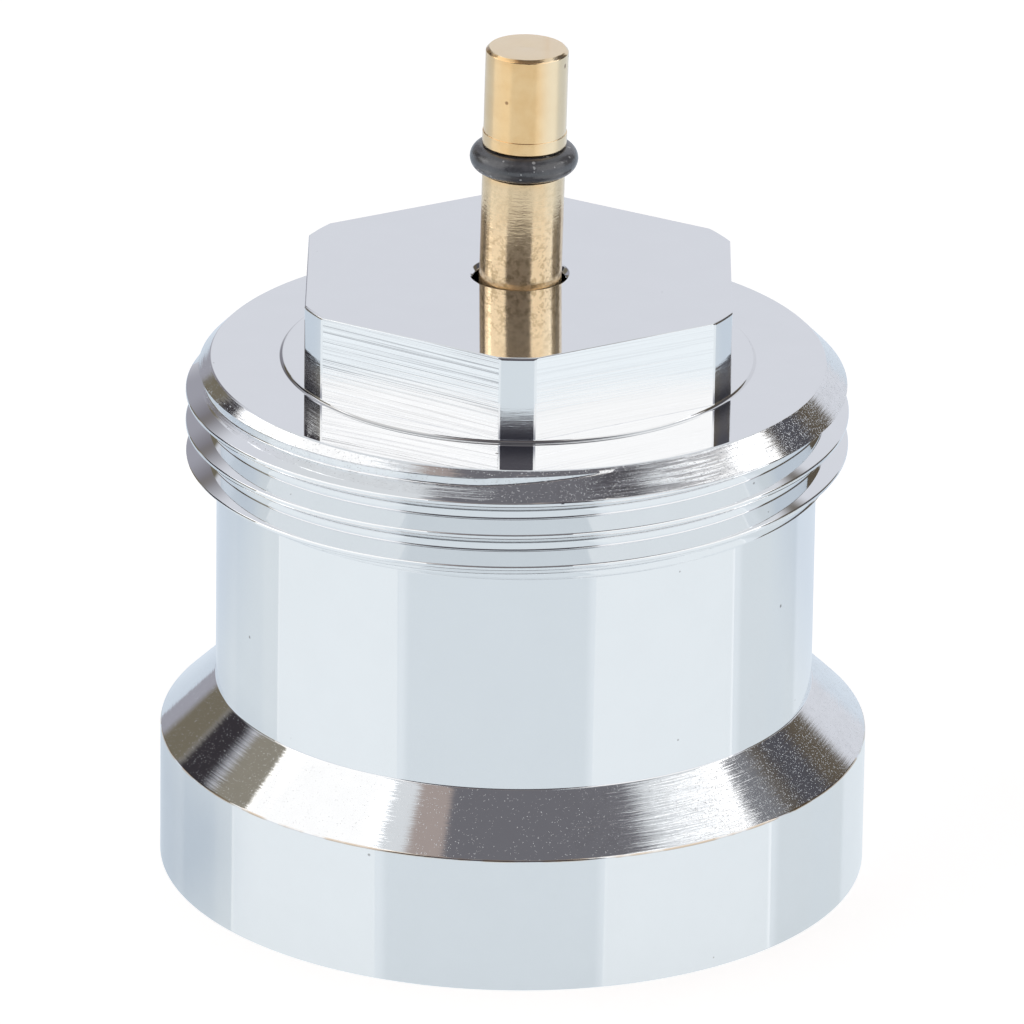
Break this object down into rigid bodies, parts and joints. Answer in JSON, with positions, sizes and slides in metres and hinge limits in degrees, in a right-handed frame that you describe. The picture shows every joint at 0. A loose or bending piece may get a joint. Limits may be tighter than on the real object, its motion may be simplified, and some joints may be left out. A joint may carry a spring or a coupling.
{
  "type": "radiator thermostat adapter",
  "caption": "Chromed threaded adapter that joins a heating thermostat head to a radiator valve, with a sliding brass push pin and a rubber ring.",
  "frame": {"origin": "on the turned axis, in the plane of the foot's rim", "axes": "+Z along the axis from the foot to the pin's tip; +X square to one flat of the hexagon, so that a corner of it points along -Y"},
  "size_m": [0.032, 0.032, 0.0388],
  "materials": {
    "chrome": "polished plating",
    "brass": "turned satin",
    "rubber": "matte"
  },
  "bodies": {
    "adapter": {"adapter_body": "chrome"},
    "pin": {"push_pin": "brass", "o_ring": "rubber"}
  },
  "joints": [
    {"name": "pin_stroke", "type": "slide", "parent": "adapter", "child": "pin", "axis": [0, 0, -1], "range_m": [0, 0.00485]}
  ]
}
